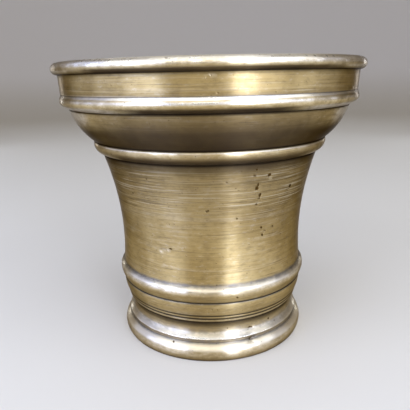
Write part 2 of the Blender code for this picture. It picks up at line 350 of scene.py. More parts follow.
def spot(height, direction, wide, tall, tilt=0.0):
    """A bell-shaped bump of 1 on the side that shows, wide along the turn and tall up the outline.
    Lengths are in mm, and the direction and the tilt in degrees."""
    # A hidden row counts as a metre away, so that the nearest row is one that shows
    nearest = np.argmin(np.abs(outline.height - height * MM) + ~outline.shows)
    up_it = (outline.along[nearest] - outline.along)[:, None]
    round_it = outline.radius[:, None] * apart(direction)[None]
    lean = math.radians(tilt)
    along_it = round_it * math.cos(lean) + up_it * math.sin(lean)
    over_it = up_it * math.cos(lean) - round_it * math.sin(lean)
    bump = np.exp(-0.5 * ((along_it / (wide * MM)) ** 2 + (over_it / (tall * MM)) ** 2))
    return bump * outline.shows[:, None]


# The waves go inwards only, because the limit is a little more than they can add up to
WAVE_HEIGHT = 0.03 * MM
WAVE_LIMIT = 1.2


def waviness():
    """Slow unevenness of the casting, in metres: a few waves round it whose phase drifts up it."""
    total = np.zeros((ROWS, COLUMNS))
    for waves, drift, phase in ((2, 21, 0.4), (3, -34, 1.9), (5, 55, 4.1), (9, -80, 2.6)):
        total += np.sin(waves * facing[None] + drift * outline.along[:, None] + phase) / waves
    return WAVE_HEIGHT * (total / WAVE_LIMIT - 1)


chance = np.random.default_rng(7)

# Depth in mm, least and greatest width in mm, and the height in mm and direction in degrees of each pit
# that the photograph shows: deep and shallow ones in a column and a clump on the front right of the
# waist, single ones, fainter ones, those along the lip, and one each on foot, hollow and lower bead
SEEN_PITS = (
    (0.14, 0.5, 0.7, ((73.2, 25), (80.9, 28.5), (74.3, 45.5), (58.8, 28), (54.7, 29), (76, 22.5))),
    (0.10, 0.5, 0.7, (
        (84, 21), (81.5, 20.5), (77.7, 23), (71.7, 24.5), (69.2, 23.5), (56.7, 30.5), (58.2, 36),
    )),
    (0.09, 0.55, 0.55, ((79.2, 7), (63.7, 13), (53.2, 43.5), (80.2, -33), (72.5, -46), (69.2, -22.5))),
    (0.08, 0.5, 0.5, (
        (58.2, -6.5), (67.7, -2), (67.4, -3), (43.7, -45.5), (119, 0), (116, -31), (113.5, 2), (24, -1),
        (24.2, 2),
    )),
    (0.10, 0.35, 0.6, ((124.5, 28), (124.6, 31), (124.4, 33.5), (124.6, 36), (124.5, 39), (124.3, -12))),
    (0.12, 0.5, 0.5, ((7, -25), (13, 39), (30, 13))),
)
OTHER_PITS = 70

# Depth in mm from which a pit is full of dirt, and the share of dirt in torn metal
FULL_DEPTH = 0.13
TORN_DIRT = 0.48

# Height, direction, width, tallness, tilt and depth of each tear across the hollow and the foot
TORN_METAL = (
    (7.5, 22, 2.2, 0.7, 35, 0.5), (6.2, 24, 1.0, 0.6, -20, 0.45), (8.2, 26, 1.6, 0.5, 10, 0.35),
    (11.5, 22, 1.8, 0.6, 25, 0.4), (12.5, 24.5, 1.2, 0.5, -10, 0.3),
)

# Depth in metres and directions of the nicks under the lip, where it has been set down and knocked
NICK_DEPTH = 0.3 * MM
NICKS = (-45, -41, -37, -34, 8, 63, 118, 171, 214, 250)

# Height and direction of the small painted glints, beside the knock and on the waist and the band
PAINTED_GLINTS = ((118.8, 0.5), (79.4, 29.5), (48.2, -30.8), (49.8, -28.3), (49.7, -26), (113.5, 58))


def pits():
    """Casting pits as (height, direction, width, depth in mm): those that the photograph shows, and
    others at random round the sides and the back, half of them on the waist."""
    found = []
    for deep, narrowest, widest, places in SEEN_PITS:
        for height, direction in places:
            width = chance.uniform(narrowest, widest) if narrowest < widest else narrowest
            found.append((height, direction, width, deep))
    for _ in range(OTHER_PITS):
        height = chance.choice((chance.uniform(38, 86), chance.uniform(2, 120)))
        found.append((height, chance.uniform(70, 290), chance.uniform(0.35, 0.7), chance.uniform(0.05, 0.15)))
    return found


def pressed_in():
    """Depth of every dent and pit in metres, and a mask of the dirt that they hold."""
    depth = np.zeros((ROWS, COLUMNS))
    dirt = np.zeros((ROWS, COLUMNS))
    for height, direction, width, deep in pits():
        mark = spot(height, direction, width, width)
        depth += deep * MM * mark
        dirt += mark * min(1, deep / FULL_DEPTH)
    # A shallow oval knock on the waist, with dirt along its upper edge
    depth += MM * (0.3 * spot(48.5, -29.2, 1.15, 0.8) + 0.16 * spot(48.9, -25, 1.5, 0.8))
    dirt += 0.8 * spot(50.3, -24.2, 0.9, 0.35)
    for height, direction, wide, tall, tilt, deep in TORN_METAL:
        mark = spot(height, direction, wide, tall, tilt)
        depth += deep * MM * mark
        dirt += TORN_DIRT * mark
    for direction in NICKS:
        depth += NICK_DEPTH * spot(chance.uniform(120.8, 122), direction, chance.uniform(0.5, 1.4), 0.6)
    return depth, np.clip(dirt, 0, 1)


def quads(rows, columns, closed=False):
    """Faces between neighbouring points of a grid, as point numbers. Columns run on round the turn, and
    the last row joins the first if the grid is closed."""
    row, column = np.meshgrid(np.arange(rows if closed else rows - 1), np.arange(columns), indexing="ij")
    below, beside = (row + 1) % rows, (column + 1) % columns
    return np.stack([
        row * columns + column, below * columns + column, below * columns + beside, row * columns + beside,
    ], 2).reshape(-1, 4)


def turned_mesh(name, radius, height):
    """A mesh from grids of radius and height, one row for each point of the outline and one column
    for each direction: x and y are the radius times the direction's cosine and sine."""
    points = np.stack([radius * np.cos(angle), radius * np.sin(angle), height], 2)
    faces = quads(*radius.shape, closed=True)
    mesh = bpy.data.meshes.new(name)
    mesh.vertices.add(radius.size)
    mesh.vertices.foreach_set("co", points.ravel())
    mesh.loops.add(faces.size)
    mesh.loops.foreach_set("vertex_index", faces.ravel())
    mesh.polygons.add(len(faces))
    mesh.polygons.foreach_set("loop_start", np.arange(len(faces)) * 4)
    mesh.update(calc_edges=True)
    mesh.validate()
    mesh.shade_smooth()
    return mesh


def mask(mesh, name, values):
    """Stores one number for each point of the casting's grid, for a material to read."""
    layer = mesh.attributes.new(name, "FLOAT", "POINT")
    layer.data.foreach_set("value", np.broadcast_to(values, (ROWS, COLUMNS)).astype(float).ravel())


def ringed_mesh(name, points, smooth=True, open_end=False):
    """A mesh from a grid of points, one row for each ring of it. A small flat face closes the first
    ring, and another one the last, unless that end is left open."""
    rows, columns = points.shape[:2]
    last = (rows - 1) * columns
    caps = [list(range(columns))]
    if not open_end:
        caps.append(list(range(last + columns - 1, last - 1, -1)))
    mesh = bpy.data.meshes.new(name)
    mesh.from_pydata(points.reshape(-1, 3).tolist(), [], quads(rows, columns).tolist() + caps)
    if smooth:
        mesh.shade_smooth()
    return mesh


def rounded_square(half_side, turn):
    """Distance from the middle to the edge of a square with rounded corners, in each direction: the
    side's distance divided by the tenth root of the sum of the tenth powers of cosine and sine."""
    return half_side / (np.abs(np.cos(turn)) ** 10 + np.abs(np.sin(turn)) ** 10) ** 0.1


def square_bar(index, half_side, share, height, columns=64):
    """Points of a bar that stands on the chaplets' circle, midway between the X and Y axes. Its rings
    are shares of the rounded square, and the function that is handed in gives their heights."""
    turn = (np.arange(columns) + 0.5) * math.tau / columns
    away = share[:, None] * rounded_square(half_side, turn)
    facing_out = math.tau * (index + 0.5) / CHAPLET_COUNT
    outward = CHAPLET_CIRCLE + away * np.cos(turn)
    across = away * np.sin(turn)
    x = outward * math.cos(facing_out) - across * math.sin(facing_out)
    y = outward * math.sin(facing_out) + across * math.cos(facing_out)
    return np.stack([x, y, height(x, y)], 2)


def seats_cutter():
    """Four square bars from below the foot to well above the floor, all in one mesh."""
    share = np.array([0.1, 1, 1, 0.1])
    ends = np.array([BOWL_CENTRE, BOWL_CENTRE, -1 * MM, -1 * MM])[:, None]
    half_side = CHAPLET_SIDE / 2 + CLEARANCE
    merged = bmesh.new()
    for index in range(CHAPLET_COUNT):
        points = square_bar(index, half_side, share, lambda x, y: ends * np.ones_like(x), 32)
        merged.from_mesh(ringed_mesh("seat", points, smooth=False))
    mesh = bpy.data.meshes.new("chaplet_seats")
    merged.to_mesh(mesh)
    merged.free()
    return mesh


def in_scene(name, data):
    """Makes an object of a mesh, a lamp or a camera, and puts it in the scene."""
    made = bpy.data.objects.new(name, data)
    bpy.context.scene.collection.objects.link(made)
    return made


def cut_seats(mesh):
    """The mesh with the chaplets' square seats cut through its floor."""
    whole = in_scene("whole", mesh)
    cutter = in_scene("cutter", seats_cutter())
    trim = whole.modifiers.new("seats", "BOOLEAN")
    trim.operation = "DIFFERENCE"
    trim.solver = "EXACT"
    trim.object = cutter
    bpy.context.view_layer.update()
    finished = bpy.data.meshes.new_from_object(whole.evaluated_get(bpy.context.evaluated_depsgraph_get()))
    finished.name = mesh.name
    bpy.data.objects.remove(whole)
    bpy.data.objects.remove(cutter)
    return finished


def put(tree, kind, feeds=None, **settings):
    """Makes a node, sets it up, and feeds each named or numbered socket a link or a plain value."""
    made = tree.nodes.new("ShaderNode" + kind)
    for key, value in settings.items():
        setattr(made, key, value)
    for socket, value in (feeds or {}).items():
        if isinstance(value, bpy.types.NodeSocket):
            tree.links.new(value, made.inputs[socket])
        else:
            made.inputs[socket].default_value = value
    return made


def calc(tree, operation, first, second, third=0.0):
    return put(tree, "Math", {0: first, 1: second, 2: third}, operation=operation).outputs[0]


def times(tree, first, second):
    return calc(tree, "MULTIPLY", first, second)


def plus(tree, first, second):
    return calc(tree, "ADD", first, second)


def rise(tree, value, low, high, least=0.0, most=1.0):
    """A smooth step from least to most as the value goes from low to high."""
    feeds = {"Value": value, "From Min": low, "From Max": high, "To Min": least, "To Max": most}
    return put(tree, "MapRange", feeds, interpolation_type="SMOOTHSTEP").outputs[0]


def mixed(tree, share, under, over):
    """One colour laid over another by a share."""
    feeds = {0: share, 6: (*under, 1) if isinstance(under, tuple) else under}
    feeds[7] = (*over, 1) if isinstance(over, tuple) else over
    return put(tree, "Mix", feeds, data_type="RGBA").outputs[2]


def noise(tree, vector, scale, detail, roughness, drift=None):
    feeds = {"Vector": vector, "Scale": scale, "Detail": detail, "Roughness": roughness}
    if drift is not None:
        feeds["W"] = drift
    return put(tree, "TexNoise", feeds, noise_dimensions="4D" if drift is not None else "3D").outputs[0]


def bumped(tree, shader, height, strength):
    """Lets a height in metres lift the shaded surface."""
    bump = put(tree, "Bump", {"Height": height, "Distance": 1.0, "Strength": strength})
    tree.links.new(bump.outputs[0], shader.inputs["Normal"])


def place(tree):
    return put(tree, "TexCoord").outputs["Object"]


def turning(tree, where):
    """Unit vectors straight out from Z and round the turn, at right angles to it, and the distance
    from Z, at each place."""
    flat = put(tree, "VectorMath", {0: where, 1: (1, 1, 0)}, operation="MULTIPLY").outputs[0]
    outward = put(tree, "VectorMath", {0: flat}, operation="NORMALIZE").outputs[0]
    across = put(tree, "VectorMath", {0: (0, 0, 1), 1: outward}, operation="CROSS_PRODUCT").outputs[0]
    radius = put(tree, "VectorMath", {0: flat}, operation="LENGTH").outputs["Value"]
    return outward, across, radius


def lathe_lines(tree, where, outward, radius, spread, pitch, detail):
    """Noise drawn out round the turn: it changes quickly with height and radius and slowly round."""
    height = put(tree, "SeparateXYZ", {0: where}).outputs[2]
    stretched = put(tree, "VectorMath", {0: outward, 1: (spread, spread, 0)}, operation="MULTIPLY").outputs[0]
    lifted = put(tree, "CombineXYZ", {2: times(tree, height, 1 / pitch)}).outputs[0]
    vector = put(tree, "VectorMath", {0: stretched, 1: lifted}, operation="ADD").outputs[0]
    return noise(tree, vector, 1.0, detail, 0.6, times(tree, radius, 1 / pitch))


def reading(tree, name):
    return put(tree, "Attribute", attribute_name=name, attribute_type="GEOMETRY").outputs["Fac"]


def new_finish(name):
    made = bpy.data.materials.new(name)
    made.use_nodes = True
    return made, made.node_tree, made.node_tree.nodes["Principled BSDF"]


# Colours of the metal, as linear red, green and blue
BRONZE = (0.56, 0.41, 0.175)
BRONZE_DEEP = (0.43, 0.30, 0.112)
BRONZE_PALE = (0.91, 0.83, 0.67)
# Painted highlights turn from pale bronze to this golden as the metal turns down
BRONZE_GOLDEN = (0.85, 0.70, 0.41)
BRONZE_SCRAPED = (0.92, 0.80, 0.56)
# Painted silver sheen on what faces up
PAINTED_SILVER_SHEEN = (0.78, 0.68, 0.50)
# Painted near-white highlight
PAINTED_HIGHLIGHT_WHITE = (0.98, 0.95, 0.88)
PATINA = (0.095, 0.065, 0.035)
DUST = (0.30, 0.265, 0.21)
# Nearly black, for dirt and painted shade in corners and on what faces down
CREVICE = (0.020, 0.013, 0.007)
PIT_BROWN = (0.075, 0.037, 0.006)
GRAZING = (0.42, 0.39, 0.36)
IRON_DARK = (0.075, 0.055, 0.045)
RUST_BLOOM = (0.20, 0.085, 0.035)
PLUG_RED = (0.47, 0.30, 0.14)
PLUG_DULL = (0.24, 0.15, 0.075)


def turned_bronze():
    """Lathe-turned bronze: fine lines round the turn, coarser cutter marks on the waist, pale wear and
    painted highlights on crests, a painted near-white highlight on tops in front, a painted silver sheen
    on what faces up, brown patina and painted shade, dust, brown dirt in the pits, and nearly black
    dirt and painted shade in the corners."""
    made, tree, shader = new_finish("turned_bronze")
    where = place(tree)
    outward, across, radius = turning(tree, where)
    wear_and_painted_highlight, corner, patina_and_painted_shade, painted_shade_darkness, tilt, dust, dirt, cutter, painted_front_highlight = (
        reading(tree, name)
        for name in ("wear_and_painted_highlight", "corner", "patina_and_painted_shade", "painted_shade_darkness", "tilt", "dust", "dirt", "cutter", "painted_front_highlight")
    )

    fine = lathe_lines(tree, where, outward, radius, 3.0, 0.4 * MM, 3.0)
    broad = lathe_lines(tree, where, outward, radius, 1.2, 1.7 * MM, 3.0)
    scored = lathe_lines(tree, where, outward, radius, 1.9, 0.42 * MM, 1.0)
    cloud = noise(tree, where, 28.0, 4.0, 0.6)
    mottle = noise(tree, where, 150.0, 5.0, 0.65)
    specks = noise(tree, where, 1100.0, 2.0, 0.5)
    squashed = put(tree, "VectorMath", {0: where, 1: (0.5, 0.5, 1.2)}, operation="MULTIPLY").outputs[0]
    fleck = noise(tree, squashed, 620.0, 4.0, 0.65)
    uneven = noise(tree, where, 110.0, 2.0, 0.5)
    grain = noise(tree, where, 900.0, 3.0, 0.6)

    # Shares of what lies on the metal and of painted sheen, highlights and shade, each broken up by noise
    cut = times(tree, rise(tree, scored, 0.57, 0.64), cutter)
    ridge = times(tree, rise(tree, scored, 0.42, 0.35), cutter)
    streaked = calc(tree, "MULTIPLY_ADD", broad, 0.6, times(tree, mottle, 0.5))
    # Painted silver sheen on what faces up, with streaky edges
    open_top = rise(tree, tilt, 0.15, 0.6)
    painted_top_sheen = rise(tree, plus(tree, streaked, open_top), 0.70, 1.25, 0.0, 0.85)
    # Patina and painted shade, broken up by noise
    patina_and_painted_shade_share = times(tree, patina_and_painted_shade, rise(tree, cloud, 0.3, 0.7, 1.0, 0.85))
    patchy = calc(tree, "MULTIPLY_ADD", fleck, 0.4, times(tree, mottle, 0.6))
    # Pale wear and painted highlights, broken up by noise
    patchy_wear_and_painted_highlight = times(tree, wear_and_painted_highlight, rise(tree, patchy, 0.60, 0.40, 0.35, 1.0))
    # Painted near-white highlight, broken up by noise
    shining = times(tree, painted_front_highlight, rise(tree, patchy, 0.60, 0.40, 0.7, 1.0))
    settled = times(tree, dust, rise(tree, fleck, 0.35, 0.6, 0.45, 1.0))
    pitted = rise(tree, calc(tree, "MULTIPLY_ADD", specks, 0.5, dirt), 0.58, 0.95)
    pitted = calc(tree, "MAXIMUM", pitted, rise(tree, specks, 0.69, 0.76, 0.0, 0.7))
    filled = times(tree, pitted, calc(tree, "MULTIPLY_ADD", patchy_wear_and_painted_highlight, -0.5, 0.95))
    packed = calc(tree, "MAXIMUM", corner, filled)

    # Each layer's share and colour, from the bare metal outwards
    colour = mixed(tree, rise(tree, cloud, 0.36, 0.66), BRONZE_DEEP, BRONZE)
    for share, over in (
        (rise(tree, broad, 0.50, 0.68, 0.0, 0.14), PATINA),
        (rise(tree, broad, 0.48, 0.34, 0.0, 0.10), BRONZE_PALE),
        (rise(tree, mottle, 0.48, 0.72, 0.0, 0.18), PATINA),
        (rise(tree, fleck, 0.50, 0.70, 0.0, 0.24), PATINA),
        (rise(tree, fleck, 0.46, 0.30, 0.0, 0.15), BRONZE_PALE),
        (rise(tree, fine, 0.52, 0.70, 0.0, 0.45), PATINA),
        (times(tree, cut, 0.5), PATINA),
        (times(tree, ridge, 0.75), BRONZE_SCRAPED),
        # Painted silver sheen on what faces up
        (painted_top_sheen, PAINTED_SILVER_SHEEN),
        # Painted shade on what faces down, brown to nearly black, with patina in the sheltered places
        (patina_and_painted_shade_share, mixed(tree, painted_shade_darkness, PATINA, CREVICE)),
        # Pale wear and painted highlights, turning golden as painted shade where the metal turns down
        (patchy_wear_and_painted_highlight, mixed(tree, rise(tree, tilt, -0.35, 0.2), BRONZE_GOLDEN, BRONZE_PALE)),
        # Painted near-white highlight in front
        (shining, PAINTED_HIGHLIGHT_WHITE),
        (settled, DUST),
        (filled, PIT_BROWN),
        # Nearly black dirt and painted shade in the corners
        (corner, CREVICE),
    ):
        colour = mixed(tree, share, colour, over)
    tree.links.new(colour, shader.inputs["Base Color"])

    rough = plus(tree, rise(tree, mottle, 0.3, 0.75, 0.31, 0.37), times(tree, patina_and_painted_shade_share, 0.10))
    for share, change in ((packed, 0.25), (patchy_wear_and_painted_highlight, -0.06), (painted_front_highlight, -0.05)):
        rough = plus(tree, rough, times(tree, share, change))
    tree.links.new(rough, shader.inputs["Roughness"])
    tree.links.new(across, shader.inputs["Tangent"])
    shader.inputs["Metallic"].default_value = 1.0
    shader.inputs["Anisotropic"].default_value = 0.9
    shader.inputs["Anisotropic Rotation"].default_value = 0.25
    shader.inputs["Specular Tint"].default_value = (*GRAZING, 1)

    lines = times(tree, fine, 0.012 * MM)
    marks = plus(tree, times(tree, cut, -0.02 * MM), times(tree, pitted, -0.08 * MM))
    # Slow waves are strongest on pale wear and painted highlights and slight on the rest
    waves = times(tree, calc(tree, "MULTIPLY_ADD", patchy_wear_and_painted_highlight, 0.88, 0.12), times(tree, uneven, 0.10 * MM))
    skin = calc(tree, "MULTIPLY_ADD", grain, 0.006 * MM, waves)
    bumped(tree, shader, plus(tree, plus(tree, lines, marks), skin), 1.0)
    return made


def iron():
    """Rusted iron: dark, dull and grainy, with orange-brown bloom."""
    made, tree, shader = new_finish("rusted_iron")
    bloom = noise(tree, place(tree), 700.0, 4.0, 0.6)
    colour = mixed(tree, rise(tree, bloom, 0.4, 0.65), IRON_DARK, RUST_BLOOM)
    tree.links.new(colour, shader.inputs["Base Color"])
    tree.links.new(rise(tree, bloom, 0.35, 0.7, 0.5, 0.8), shader.inputs["Roughness"])
    shader.inputs["Metallic"].default_value = 0.6
    bumped(tree, shader, times(tree, bloom, 0.08 * MM), 0.8)
    return made


def plug_bronze():
    """Redder bronze, hammered flush and scoured by the pestle."""
    made, tree, shader = new_finish("hammered_plug_bronze")
    where = place(tree)
    dents = noise(tree, where, 260.0, 2.0, 0.5)
    mottle = noise(tree, where, 900.0, 4.0, 0.6)
    colour = mixed(tree, rise(tree, mottle, 0.4, 0.7), PLUG_RED, PLUG_DULL)
    tree.links.new(colour, shader.inputs["Base Color"])
    tree.links.new(rise(tree, mottle, 0.3, 0.7, 0.36, 0.52), shader.inputs["Roughness"])
    shader.inputs["Metallic"].default_value = 1.0
    bumped(tree, shader, plus(tree, times(tree, dents, 0.25 * MM), times(tree, mottle, 0.02 * MM)), 0.6)
    return made


def shown(name, mesh, finish, node):
    """Puts a finished mesh in the scene in place of a solid, riding on the one body."""
    mesh.materials.append(finish)
    piece = in_scene(name, mesh)
    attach(piece, "root")
    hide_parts(node)


# What the masks share. For each row: its height, how far it faces up, from -1 to 1, and whether it
# shows. For each column: its turn away from the camera, in radians either way.
high, up, shows = outline.height, outline.up, outline.shows
aside = np.abs(apart(0))[None]

# Rows that stand proud or lie sunk, that lie on a fine edge or corner, and whose surroundings face down
raised = step_up(outline.relief, 0.05 * MM, 0.30 * MM) * shows
sunk = step_up(-outline.relief, 0.05 * MM, 0.28 * MM)
fine_edge = step_up(outline.line, 0.015 * MM, 0.06 * MM)
fine_corner = step_up(-outline.line, 0.015 * MM, 0.06 * MM)
under = 1 - step_up(outline.lean, -0.35, 0.25)

# Mouldings that are worn in ways of their own
on_upper_bead = (high > OVOLO_TOP - 0.5 * MM) & (high < FILLET_TOP)
on_lower_mouldings = (high > RIDGES_TOP) & (high < LOWER_BEAD_TOP)
on_foot_step = between(
    high, FOOT_HEIGHT - 1.0 * MM, FOOT_HEIGHT - 0.7 * MM, FOOT_HEIGHT + 0.15 * MM, FOOT_HEIGHT + 0.4 * MM
)
at_cut = bell(high, LOWER_BAND_TOP, 0.45 * MM)
polished = raised * np.where(on_upper_bead, step_up(up, -0.85, -0.4), step_up(up, -0.35, 0.0))

# The waist is shaded close under the thin bead, and a little for some way further down
below_bead = WAIST_TOP - high
close_shade = 1 - step_up(below_bead, 1 * MM, 9 * MM)
far_shade = 0.3 - 0.3 * step_up(below_bead, 8 * MM, 20 * MM)
bead_shade = (high < WAIST_TOP) * (high > NARROWEST) * np.maximum(close_shade, far_shade)

# Rows that don't show: the bowl's inside, the ring that it stands on, and the recess in it
inside = ~shows & (outline.radius < MOUTH_RADIUS + RIM_INNER_ROUND) & (high > RECESS_DEPTH + 1 * MM)
ring = ~shows & (high < 0.2 * MM)
recess = ~shows & (high < RECESS_DEPTH + 1 * MM) & ~ring


def ovolo_sides():
    """The upper half of the ovolo round both sides, and the narrower part of that at its ends, where a
    painted reflection lies.
    """
    on_ovolo = step_up(high, THIN_BEAD_TOP + 5 * MM, OVOLO_TOP - 2 * MM) * (high < OVOLO_TOP - 0.4 * MM)
    on_ovolo = (on_ovolo * shows)[:, None] * (1 - step_up(aside, 1.3, 1.65))
    return on_ovolo * step_up(aside, 0.5, 0.95), on_ovolo * step_up(aside, 0.78, 1.0)


def painted_edge_reflections():
    """A thin painted reflection along the under edges of the lip and of the two upper beads round the
    sides: rows between two heights whose normal is near a given slope, from a given turn onwards."""
    painted_edge_reflection = np.zeros((ROWS, COLUMNS))
    for foot, top, slope, start in (
        (BAND_TOP, TOP, -0.62, 0.6),
        (OVOLO_TOP - 0.2 * MM, UPPER_BEAD_TOP, -0.86, 0.35),
        (WAIST_TOP, THIN_BEAD_TOP, -0.74, 0.7),
    ):
        on_it = shows * (high > foot) * (high < top) * bell(up, slope, 0.12)
        painted_edge_reflection = np.maximum(painted_edge_reflection, on_it[:, None] * step_up(aside, start, start + 0.35))
    return painted_edge_reflection


# Painted reflection on the ovolo round the sides
ovolo_side, ovolo_end = ovolo_sides()
# Painted reflection lines along the under edges round the sides
painted_edge_reflection = painted_edge_reflections()


def wear_and_painted_highlights():
    """Where the metal is pale, as wear and as painted highlight: on what stands proud or is a fine
    edge and doesn't face down, with painted reflections on the under edges and on the ovolo round the
    sides and painted glints, and as wear alone on the bowl's floor, which the pestle scours, and on
    the ring that it stands on."""
    wear_and_painted_highlight = raised * step_up(up, -0.45, 0.15)
    wear_and_painted_highlight = np.maximum(wear_and_painted_highlight, shows * fine_edge * step_up(up, -0.3, 0.3))[:, None]
    # Round the sides the under edges of the mouldings are painted pale, as reflected light
    under_edge = raised * step_up(up, -0.85, -0.4)
    bead_painted_side_lines = 0.15 + 0.85 * step_up(aside, 0.15, 0.5)
    painted_side_lines = np.where(on_upper_bead[:, None], bead_painted_side_lines, step_up(aside, 0.7, 1.2))
    wear_and_painted_highlight = np.maximum(wear_and_painted_highlight, 0.8 * under_edge[:, None] * painted_side_lines) * (1 - at_cut[:, None])
    # Painted reflection on the ovolo's sides and ends
    wear_and_painted_highlight = np.maximum(wear_and_painted_highlight, 0.25 * ovolo_side + 0.7 * ovolo_end)
    wear_and_painted_highlight = np.maximum(wear_and_painted_highlight, 0.95 * painted_edge_reflection)
    scoured = inside * (1 - step_up(high, 26 * MM, 44 * MM))
    wear_and_painted_highlight = np.maximum(wear_and_painted_highlight, (0.35 * scoured + 0.45 * ring)[:, None])
    # Painted glints
    for height, direction in PAINTED_GLINTS:
        wear_and_painted_highlight = np.maximum(wear_and_painted_highlight, spot(height, direction, 0.5, 0.4))
    return wear_and_painted_highlight


def corner_dirt_and_painted_shade():
    """Where nearly black dirt and painted shade lie: in what lies sunk or is a fine corner, most of all
    under a moulding, in the cut line and in the ridges' grooves. There is less on the foot's step, under
    the lip and at the upper bead's ledge."""
    corner = sunk * (0.05 + 0.85 * under) * (0.3 + 0.7 * step_up(-up, 0.0, 0.35))
    corner = np.maximum(corner, fine_corner * (0.3 + 0.65 * under))
    corner = np.maximum(corner, 0.95 * shows * at_cut**2)
    corner *= 1 - 0.65 * on_foot_step
    corner *= 1 - 0.5 * (high > BAND_TOP - 1 * MM) * (high < BAND_TOP)
    corner *= 1 - 0.7 * (high > UPPER_BEAD_TOP - 0.5 * MM) * (high < FILLET_TOP - 0.3 * MM)
    for index in range(RIDGE_COUNT + 1):
        groove = bell(high, RIDGES_TOP - index * RIDGE_HEIGHT, 0.3 * MM)
        corner = np.maximum(corner, 0.9 * shows * groove)
    return corner[:, None] * (1 - painted_edge_reflection)


def settled_dust():
    """Where dust lies: in what is sunk and faces up, on top of the lower mouldings, on the foot's step,
    in the hollow, and round the sides on the upper bead's ledge."""
    dust = np.maximum(sunk * (1 - under), 0.8 * on_lower_mouldings * step_up(up, 0.45, 0.75))
    dust = np.maximum(dust, 0.85 * on_foot_step)
    dust = np.maximum(dust, 0.75 * bell(high, FOOT_EDGE_TOP + 2 * MM, 1 * MM))
    on_ledge = step_up(high, UPPER_BEAD_TOP - 0.3 * MM, UPPER_BEAD_TOP) * (high < FILLET_TOP + 0.1 * MM)
    dust = np.maximum(dust[:, None], 0.5 * on_ledge[:, None] * step_up(aside, 0.25, 0.8))
    return dust * shows[:, None]


def patina_and_painted_shade_mask():
    """Where brown patina and painted shade lie: painted shade on what faces down, under the thin bead
    and low on the foot, and patina just above the upper bead's ledge, high inside the bowl and in the
    recess."""
    # Painted shade: darker the more the metal faces down, and under the thin bead
    faces_down = np.clip(-up / 0.55, 0, 1) * (1 - 0.85 * polished) * (1 - 0.65 * on_lower_mouldings)
    faces_down = shows * np.maximum(faces_down, 0.95 * bead_shade)
    patina_and_painted_shade = faces_down[:, None] * (1 - 0.9 * np.maximum(ovolo_side, painted_edge_reflection))
    on_foot = shows * (1 - step_up(high, 0.5 * MM, 4.5 * MM))
    above_ledge = shows * bell(high, FILLET_TOP + 1.3 * MM, 0.5 * MM)
    tarnish = inside * between(high, 40 * MM, 60 * MM, 95 * MM, 118 * MM)
    for patch in (0.55 * on_foot, 0.3 * above_ledge, 0.22 * tarnish + 0.65 * recess):
        patina_and_painted_shade = np.maximum(patina_and_painted_shade, patch[:, None])
    return patina_and_painted_shade


def painted_shade_darkness_mask():
    """How black the painted shade is: more, the more steeply the metal faces down."""
    painted_shade_darkness = np.clip((-0.3 - up) / 0.9, 0, 1) * (1 - 0.6 * polished) * (1 - 0.8 * on_lower_mouldings)
    return (shows * np.maximum(painted_shade_darkness, 0.4 * bead_shade))[:, None]


def facing_up():
    """How far the metal faces up, which is raised to a fixed slope where painted reflections lie on the
    ovolo's ends and along the under edges round the sides.
    """
    plain = (shows * up)[:, None] * (1 - ovolo_end) * (1 - painted_edge_reflection)
    return plain + 0.45 * np.maximum(ovolo_end, painted_edge_reflection)


def painted_front_highlights():
    """Where a near-white highlight is painted: the tops of the upper bead and of the foot's edge, in front.
    """
    on_bead = on_upper_bead * step_up(up, -0.05, 0.25)
    on_foot_edge = bell(high, FOOT_EDGE_TOP + 0.1 * MM, 0.35 * MM) * step_up(up, -0.2, 0.2)
    tops = shows * np.maximum(0.95 * on_bead, 0.8 * on_foot_edge)
    return tops[:, None] * (1 - step_up(aside, 0.2, 0.65))


def cutter_marks():
    """Where the lathe's cutter left coarse marks: on the upper waist and at the foot of the band, more
    towards the sides, and faintly all over the outer side."""
    on_waist = between(high, 60 * MM, 71 * MM, 82 * MM, 87 * MM)
    on_band = (high > FILLET_TOP) * (high < BAND_TOP) * (1 - step_up(high - FILLET_TOP, 1 * MM, 4.5 * MM))
    cutter = shows * (0.05 + 0.95 * np.maximum(on_waist, 0.5 * on_band))
    return cutter[:, None] * (0.45 + 0.55 * step_up(aside, 0.15, 0.6))


def build_casting():
    """The outline carried round Z, moved along its normal by the waviness less the pressed depth."""
    depth, dirt = pressed_in()
    outward = waviness() - depth
    radius = outline.radius[:, None] + outline.out[:, None] * outward
    height = outline.height[:, None] + outline.up[:, None] * outward
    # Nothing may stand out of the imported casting
    radius = np.minimum(radius, LIP_RADIUS - 0.01 * MM)
    height = np.clip(height, 0, TOP)
    mesh = turned_mesh("turned_casting", radius, height)
    for name, values in (
        ("wear_and_painted_highlight", wear_and_painted_highlights()),
        ("corner", corner_dirt_and_painted_shade()),
        ("patina_and_painted_shade", patina_and_painted_shade_mask()),
        ("tilt", facing_up()),
        ("painted_shade_darkness", painted_shade_darkness_mask()),
        ("dust", settled_dust()),
        ("painted_front_highlight", painted_front_highlights()),
        ("cutter", cutter_marks()),
        ("dirt", dirt),
    ):
        mask(mesh, name, values)
    shown("turned_casting", cut_seats(mesh), turned_bronze(), "mortar_casting")


def hammered(x, y):
    """Shallow hammer dents: the product of two slow waves that cross, squared, in metres."""
    return 0.12 * MM * (np.sin(x / (1.1 * MM) + 0.7) * np.sin(y / (1.3 * MM) + x / (2.9 * MM))) ** 2


